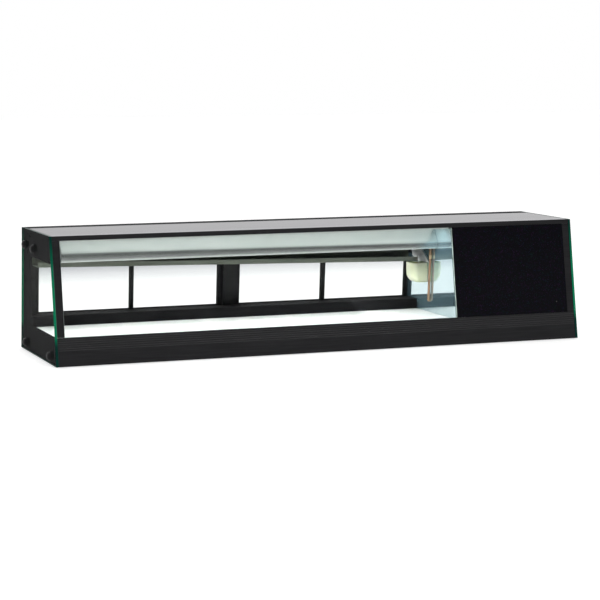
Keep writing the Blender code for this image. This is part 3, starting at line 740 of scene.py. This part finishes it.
def evaporator():
    """The coil, closed at its left end by a folded plate."""
    low, high = local_box("evaporator_coil")
    rows = [(y, z) for y in (0.175, 0.200, 0.225) for z in (low.z + 0.011, low.z + 0.034)]
    block = finned_block("evaporator_fins", (low.x + 0.004, low.y, low.z),
                         (high.x - 0.002, high.y - 0.001, high.z), 0.0045, rows, 0.0045)
    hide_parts("evaporator_coil")
    plate = bmesh.new()
    add_box(plate, at(low.x, low.y, low.z), at(low.x + 0.0012, high.y - 0.001, high.z), 0.0003)
    boss = [(0, 0.0016), (0.0044, 0.0014), (0.0058, 0.0002), (0.0058, -0.0004), (0, -0.0004)]
    for y, z in rows:
        add_turned(plate, boss, pointing((-1, 0, 0), at(low.x, y, z)), 24)
    piece_from("evaporator_end", plate, "galvanised")


def condenser():
    """The finned coil behind the grille, its tubes joined by return bends."""
    low, high = local_box("condenser_coil")
    rows = [(y, low.z + 0.014 + 0.024 * row)
            for row in range(6) for y in (low.y + 0.007, high.y - 0.007)]
    block = finned_block("condenser_fins", (low.x, low.y, low.z), (high.x - 0.010, high.y, high.z),
                         0.0028, rows, 0.0038)
    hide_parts("condenser_coil")
    return_bends("condenser_bend", rows, 0.0037, high.x - 0.0104)


# ---------------------------------------------------------------- cooling unit

def compressor():
    """Welded shell with its seam, feet plate, terminal cover and four rubber grommets."""
    low, high = local_box("compressor")
    x, y = (low.x + high.x) / 2, (low.y + high.y) / 2
    place = Matrix.Translation(at(x, y, low.z))
    top = high.z - low.z
    radius = 0.0515
    turns = [math.radians(90 - 7.5 * step) for step in range(12)]
    dome = [(radius * math.cos(turn), top - 0.046 + 0.046 * math.sin(turn)) for turn in turns]
    seam = [(radius, 0.088), (radius + 0.0016, 0.087), (radius + 0.0016, 0.083), (radius, 0.082)]
    skirt = [(radius, 0.030), (radius * 0.97, 0.020), (radius * 0.88, 0.011), (radius * 0.70, 0.006),
             (0, 0.006)]
    shell = bmesh.new()
    add_turned(shell, [(0, top)] + dome[1:] + seam + skirt, place, 64)
    add_box(shell, at(x - 0.058, y - 0.030, low.z + 0.002), at(x + 0.058, y + 0.030, low.z + 0.0045),
            0.0008)
    whole = piece_from("compressor_shell", shell, "black_enamel", smooth=40)
    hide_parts("compressor")
    cover = bmesh.new()
    add_box(cover, at(x + 0.046, y - 0.022, 0.050), at(x + 0.064, y + 0.022, 0.102), 0.004, 3)
    piece_from("terminal_cover", cover, "black_plastic")
    profile = [(0, 0.012), (0.003, 0.012), (0.0065, 0.010), (0.0065, 0.006), (0.0050, 0.005),
               (0.0075, 0.003), (0.0075, 0.0004), (0, 0.0004)]
    feet = [(x + dx, y + dy) for dy in (-0.023, 0.023) for dx in (-0.050, 0.050)]
    for index, (foot_x, foot_y) in enumerate(feet, start=1):
        grommet = bmesh.new()
        add_turned(grommet, profile, Matrix.Translation(at(foot_x, foot_y, low.z)), 24)
        piece_from(f"grommet_{index}", grommet, "rubber")


def refrigerant_lines():
    """Tubes between the compressor, the condenser, the filter drier and the partition."""
    lines = {
        "discharge_line": [(1.078, 0.142, 0.060), (1.090, 0.160, 0.060), (1.122, 0.185, 0.075),
                           (1.126, 0.230, 0.120), (1.126, 0.262, 0.136), (1.118, 0.278, 0.138)],
        "return_line": [(1.012, 0.064, 0.070), (1.000, 0.052, 0.075), (0.980, 0.055, 0.110),
                        (0.974, 0.100, 0.150), (0.972, 0.150, 0.170), (0.966, 0.160, 0.172)],
        "liquid_line": [(1.118, 0.278, 0.030), (1.128, 0.262, 0.028), (1.140, 0.220, 0.030),
                        (1.150, 0.180, 0.034)],
    }
    for name, stops in lines.items():
        tube(name, smooth_route(stops), 0.0030, "copper")
    drier = bmesh.new()
    profile = [(0, 0), (0.0032, 0), (0.0036, 0.008), (0.0095, 0.018), (0.0095, 0.078), (0.0036, 0.088),
               (0.0026, 0.096), (0, 0.096)]
    add_turned(drier, profile, pointing((0.10, -1, 0.12), at(1.150, 0.183, 0.0335)), 32)
    piece_from("filter_drier", drier, "copper")


def fan():
    """Five blades, twisted from root to tip, on a domed hub."""
    low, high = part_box("fan_blade")
    root, tip, rows, steps = 0.0145, 0.0515, 8, 8
    axle = Vector(next(joint for joint in frame["joints"] if joint["name"] == "fan_spin")["pos_m"])
    shape = bmesh.new()
    hub = [(0, high.y - axle.y), (0.010, high.y - axle.y), (0.0145, high.y - axle.y - 0.002),
           (0.0155, high.y - axle.y - 0.005), (0.0155, low.y - axle.y + 0.001), (0, low.y - axle.y + 0.001)]
    turned_to = pointing((0, 1, 0), axle)
    add_turned(shape, hub, turned_to, 40)
    for blade in range(5):
        spin = turned_to @ Matrix.Rotation(math.tau * blade / 5, 4, "Z")
        for side in (1, -1):
            grid = []
            for row in range(rows + 1):
                reach = root + (tip - root) * row / rows
                sweep = math.radians(26 + 6 * row / rows)
                line = []
                for step in range(steps + 1):
                    across = step / steps * 2 - 1
                    angle = sweep * across + 0.10 * row / rows
                    rounded = reach - 0.004 * across ** 4 * (row / rows) ** 2
                    lift = 0.0046 * across * (1 - 0.25 * row / rows) + 0.0004 * side
                    point = Vector((rounded * math.cos(angle), rounded * math.sin(angle), lift))
                    line.append(shape.verts.new(spin @ point))
                grid.append(line)
            for near, far in zip(grid, grid[1:]):
                for step in range(steps):
                    shape.faces.new((near[step], near[step + 1], far[step + 1], far[step]))
    blades = piece_from("fan_blades", shape, "black_plastic", "fan", 50)
    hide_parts("fan_blade")


# ---------------------------------------------------------------- the operator's side

def grille_louvres():
    """A pressed hood over each slot of the rear grille, open downwards."""
    low, high = local_box("rear_grille")
    left, right, reach, tall, sheet = low.x + 0.0128, high.x - 0.0128, 0.0036, 0.0085, 0.0009
    first_slot, slot_pitch = 0.0232, 0.018

    def arc(deep, high_up, z):
        turns = [math.radians(15 * step) for step in range(7)]
        return [(UNIT_FACE + deep * math.sin(turn), z + high_up * math.cos(turn)) for turn in turns]

    shape = bmesh.new()
    for row in range(12):
        z = first_slot + slot_pitch * row
        outer = arc(reach, tall, z)
        inner = arc(reach - sheet, tall - sheet, z)
        add_prism(shape, outer + inner[::-1], left, right)
        add_prism(shape, outer + [(UNIT_FACE, z)], left, left + sheet)
        add_prism(shape, outer + [(UNIT_FACE, z)], right - sheet, right)
    piece_from("grille_hoods", shape, "black_anodised", place=REAR_PLANE)


def partition_trim():
    """A thin black strip over the rear edge of the partition's foam core."""
    low, high = local_box("partition_core")
    overlap, inner, outer, bottom, top = 0.0012, -0.0069, -0.0057, 0.0040, 0.2590
    shape = bmesh.new()
    add_box(shape, (low.x - overlap, inner, bottom), (high.x + overlap, outer, top), 0.0004)
    piece_from("partition_trim", shape, "black_anodised", place=REAR_PLANE)


def door_pulls():
    """A slim vertical pull on each door, with a finger groove down its middle."""
    face, z, half = 0.0035, (DOOR_BOTTOM + DOOR_TOP) / 2, 0.030
    inset, wide, lip, end = 0.0046, 0.0036, 0.0008, 0.0005
    for number in range(1, 5):
        low, high = local_box(f"door_{number}_frame")
        inner = number in INNER_DOORS
        x = low.x + inset if inner else high.x - inset
        proud = face + (0.0030 if inner else 0.0056)
        shape = bmesh.new()
        add_box(shape, (x - wide, face + 0.0001, z - half), (x + wide, face + 0.0012, z + half), 0.0005)
        for side in (-1, 1):
            middle = x + side * (wide - lip)
            add_box(shape, (middle - lip, face + 0.0008, z - half + end),
                    (middle + lip, proud, z + half - end), 0.0006)
        pull = piece_from(f"door_pull_{number}", shape, "black_anodised", f"door_{number}",
                          place=door_plane(number))


def glazing_beads():
    """A thin rubber bead round each door pane, on both of its faces."""
    wide, radius = 0.0014, 0.0003
    bottom, top = DOOR_BOTTOM + DOOR_RAIL, DOOR_TOP - DOOR_RAIL
    for number in range(1, 5):
        low, high = local_box(f"door_{number}_glass")
        shape = bmesh.new()
        for near, far in ((-0.0030, -0.0021), (0.0021, 0.0030)):
            for z in (bottom, top - wide):
                add_box(shape, (low.x, near, z), (high.x, far, z + wide), radius)
            for x in (low.x, high.x - wide):
                add_box(shape, (x, near, bottom + wide), (x + wide, far, top - wide), radius)
        bead = piece_from(f"glazing_bead_{number}", shape, "rubber", f"door_{number}",
                          place=door_plane(number))


def thermostat(x, z):
    """Fluted knob with a pointer line over a dial with ticks and numbers."""
    centre = Vector((x, UNIT_FACE + 0.0003, z))
    shape = bmesh.new()
    turns = [math.radians(90 - 15 * step) for step in range(7)]
    crown = [(0.0122 + 0.0012 * math.cos(turn), 0.0089 + 0.0012 * math.sin(turn)) for turn in turns]
    skirt = [(0.0138, 0.0026), (0.0158, 0.0018), (0.0158, 0.0002), (0, 0.0002)]
    add_turned(shape, [(0, 0.0101)] + crown + skirt, pointing((0, 1, 0), centre), 144, 24, 0.0005)
    knob = piece_from("knob", shape, "black_plastic", "thermostat", 40, REAR_PLANE)
    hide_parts("thermostat_knob")
    line = bmesh.new()
    add_box(line, centre + Vector((-0.0005, 0.0100, 0.0030)), centre + Vector((0.0005, 0.0104, 0.0128)),
            0.0001)
    piece_from("knob_line", line, "white_ink", "thermostat", place=REAR_PLANE)
    dial = bmesh.new()
    tick_end, number_ring, end_turn = 0.0200, 0.0228, -140
    for step in range(15):
        spin = Matrix.Translation(centre) @ Matrix.Rotation(math.radians(end_turn + 20 * step), 4, "Y")
        inner = 0.0180 if step % 2 else 0.0172
        tick = spin @ Matrix.Translation((0, -0.0001, (inner + tick_end) / 2))
        size = Matrix.Diagonal((0.0005, 0.0003, tick_end - inner, 1))
        bmesh.ops.create_cube(dial, size=1, matrix=tick @ size)
    piece_from("dial_ticks", dial, "white_ink", place=REAR_PLANE)
    for number in range(8):
        turn = math.radians(end_turn + 40 * number)
        place = centre + Vector((number_ring * math.sin(-turn), 0, number_ring * math.cos(turn)))
        add_letter(f"dial_number_{number}", str(number), place, 0.0042)


def add_letter(name, text, place, size):
    """A raised number or mark on the control panel, read from behind the case."""
    letter = bpy.data.curves.new(name, "FONT")
    letter.body = text
    letter.size = size
    letter.extrude = 0.00010
    letter.align_x = "CENTER"
    letter.align_y = "CENTER"
    letter.materials.append(LOOK["white_ink"])
    piece = bpy.data.objects.new(name, letter)
    seen_from_behind = Matrix(((-1, 0, 0, 0), (0, 0, 1, 0), (0, 1, 0, 0), (0, 0, 0, 1)))
    piece.matrix_world = REAR_PLANE @ Matrix.Translation(place) @ seen_from_behind
    bpy.context.scene.collection.objects.link(piece)
    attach(piece, "case")


def frame_round(name, middle, half, rim, proud):
    """A raised plastic frame on the control panel round an opening."""
    (x, z), (wide, tall) = middle, half
    shape = bmesh.new()
    for side in (-1, 1):
        upright = (wide, -tall), (wide + rim, tall)
        level = (-wide - rim, tall), (wide + rim, tall + rim)
        for near, far in (upright, level):
            low = (x + side * near[0], UNIT_FACE + 0.0001, z + side * near[1])
            high = (x + side * far[0], UNIT_FACE + proud, z + side * far[1])
            pairs = list(zip(low, high))
            add_box(shape, [min(pair) for pair in pairs], [max(pair) for pair in pairs], 0.0004)
    piece_from(name, shape, "black_plastic", place=REAR_PLANE)


def switch_and_inlet(x, switch_z, inlet_z):
    """Frames round the rocker and the inlet, the rocker's two marks and the inlet's three pins."""
    frame_round("switch_bezel", (x, switch_z), (0.0080, 0.0118), 0.0026, 0.0016)
    mark_offset = 0.0190
    for name, text, side in (("mark_on", "I", 1), ("mark_off", "O", -1)):
        add_letter(name, text, Vector((x, UNIT_FACE + 0.0002, switch_z + side * mark_offset)), 0.0050)
    frame_round("inlet_flange", (x, inlet_z), (0.0141, 0.0101), 0.0036, 0.0022)
    pins = bmesh.new()
    thick, tall, inner_end, outer_end = 0.0010, 0.0020, -0.0252, -0.0120
    for dx, dz in ((-0.0070, -0.0015), (0.0, 0.0020), (0.0070, -0.0015)):
        add_box(pins, (x + dx - thick, inner_end, inlet_z + dz - tall),
                (x + dx + thick, outer_end, inlet_z + dz + tall), 0.0004)
    piece_from("inlet_pins", pins, "zinc_screw", place=REAR_PLANE)


def all_screws():
    """Pan heads on the panels that come off and on the plates that are screwed down."""
    screw_rows = (0.012, 0.132, 0.251)
    for node, inset in (("rear_grille", 0.006), ("control_panel", 0.007)):
        low, high = local_box(node)
        places = [(x, UNIT_FACE, z) for x in (low.x + inset, high.x - inset) for z in screw_rows]
        add_screws(f"{node}_screw", (0, 1, 0), places, 0.0032, "black_plastic", REAR_PLANE)
    face = local_box("drain_guard")[0].x
    places = [(face, 0.2500, 0.2060), (face, 0.2270, 0.1830)]
    add_screws("guard_screw", (-1, 0, 0), places, 0.0022, "zinc_screw")
    x, z = 1.2004, 0.0865
    places = [(x, FRONT_LEAN * z + 0.0004, z)]
    add_screws("front_screw", (0, -1, FRONT_LEAN), places, 0.0016, "black_enamel")


# ---------------------------------------------------------------- camera, room and light

def aim(thing, target):
    thing.rotation_euler = (Vector(target) - thing.location).to_track_quat("-Z", "Y").to_euler()


def add_camera():
    camera = bpy.data.objects.new("camera", bpy.data.cameras.new("camera"))
    camera.location = (-1.6688, -4.3371, 0.6758)
    camera.rotation_euler = (math.radians(82.940), 0, math.radians(-20.939))
    camera.data.lens = 122.24
    camera.data.sensor_width = 36
    bpy.context.scene.collection.objects.link(camera)
    bpy.context.scene.camera = camera


def add_softbox(name, place, target, size, power, hidden=False):
    """A lamp the camera never sees; a hidden one leaves no reflection either."""
    data = bpy.data.lights.new(name, "AREA")
    data.shape = "RECTANGLE"
    data.size, data.size_y = size
    data.energy = power
    lamp = bpy.data.objects.new(name, data)
    lamp.location = place
    lamp.visible_camera = False
    lamp.visible_glossy = not hidden
    bpy.context.scene.collection.objects.link(lamp)
    aim(lamp, target)


def add_world():
    """A pale studio: bright behind and overhead, dim in front, and plain white to the camera."""
    world = bpy.data.worlds.new("studio")
    bpy.context.scene.world = world
    world.use_nodes = True
    tree = world.node_tree
    background = tree.nodes["Background"]
    split = tree.nodes.new("ShaderNodeSeparateXYZ")
    tree.links.new(tree.nodes.new("ShaderNodeTexCoord").outputs["Generated"], split.inputs[0])

    def faded(axis, start, end):
        fade = tree.nodes.new("ShaderNodeMapRange")
        fade.inputs["From Min"].default_value = start
        fade.inputs["From Max"].default_value = end
        tree.links.new(split.outputs[axis], fade.inputs["Value"])
        return fade.outputs[0]

    def larger(first, second):
        pick = tree.nodes.new("ShaderNodeMath")
        pick.operation = "MAXIMUM"
        tree.links.new(first, pick.inputs[0])
        tree.links.new(second, pick.inputs[1])
        return pick.outputs[0]

    lit = larger(faded("Y", -0.30, 0.30), faded("Z", 0.35, 0.80))
    lit = larger(lit, tree.nodes.new("ShaderNodeLightPath").outputs["Is Camera Ray"])
    ramp = tree.nodes.new("ShaderNodeValToRGB")
    ramp.color_ramp.elements[0].color = (0.03, 0.03, 0.032, 1)
    ramp.color_ramp.elements[1].color = (1.0, 1.0, 1.0, 1)
    tree.links.new(lit, ramp.inputs["Fac"])
    tree.links.new(ramp.outputs["Color"], background.inputs["Color"])
    background.inputs["Strength"].default_value = 1.0


def stage_sheet(name, size, place, turn, color, glow):
    """A large sheet of the studio: the floor, or the dark flag before the case."""
    mesh = bpy.data.meshes.new(name)
    grid = bmesh.new()
    bmesh.ops.create_grid(grid, x_segments=1, y_segments=1, size=0.5)
    grid.to_mesh(mesh)
    grid.free()
    sheet = bpy.data.objects.new(name, mesh)
    facing = Matrix.Rotation(turn, 4, "X") @ Matrix.Diagonal((*size, 1, 1))
    sheet.matrix_world = Matrix.Translation(place) @ facing
    made = Finish(name, color, 0.8)
    shades = [tuple(channel * factor for channel in color) for factor in (0.97, 1.0)]
    made.colors(made.noise(2), (0.4, shades[0]), (0.6, shades[1]))
    made.constant("Emission Color", (1, 1, 1, 1)).constant("Emission Strength", glow)
    mesh.materials.append(made.material)
    bpy.context.scene.collection.objects.link(sheet)
    return sheet


def studio():
    add_camera()
    add_world()
    bpy.context.scene.view_settings.view_transform = "Standard"
    stage_sheet("floor", (30, 30), (0, 0, 0), 0, (0.50, 0.50, 0.50), 0.56)
    flag = stage_sheet("front_flag", (5.0, 0.62), (0.9, -1.9, 0.31), math.radians(90),
                       (0.10, 0.10, 0.10), 0.04)
    for ray in ("camera", "diffuse", "transmission", "shadow"):
        setattr(flag, f"visible_{ray}", False)
    middle = (0, 0, 0.1)
    add_softbox("key", (0.7, -2.0, 2.7), middle, (2.8, 1.4), 50)
    add_softbox("rear", (-0.6, 2.4, 2.0), middle, (3.0, 1.5), 30)
    add_softbox("left", (-3.0, 0.6, 1.6), middle, (1.6, 1.6), 8)
    strip = at(0.48, 0.080, 0.2560)
    below = strip + Vector((0, 0.04, -0.2))
    add_softbox("strip", strip, below, (0.90, 0.020), 1.5, hidden=True)
    cabin_end = at(0.94, 0.205, 0.190)
    add_softbox("corner", at(0.76, 0.205, 0.110), cabin_end, (0.08, 0.08), 0.16, hidden=True)


# ---------------------------------------------------------------- build

finish_nodes()
end_caps()
drain_cup()
suction_pipe()
evaporator()
condenser()
compressor()
refrigerant_lines()
fan()
grille_louvres()
partition_trim()
door_pulls()
glazing_beads()
thermostat(1.182, 0.196)
switch_and_inlet(1.182, 0.128, 0.052)
all_screws()
studio()
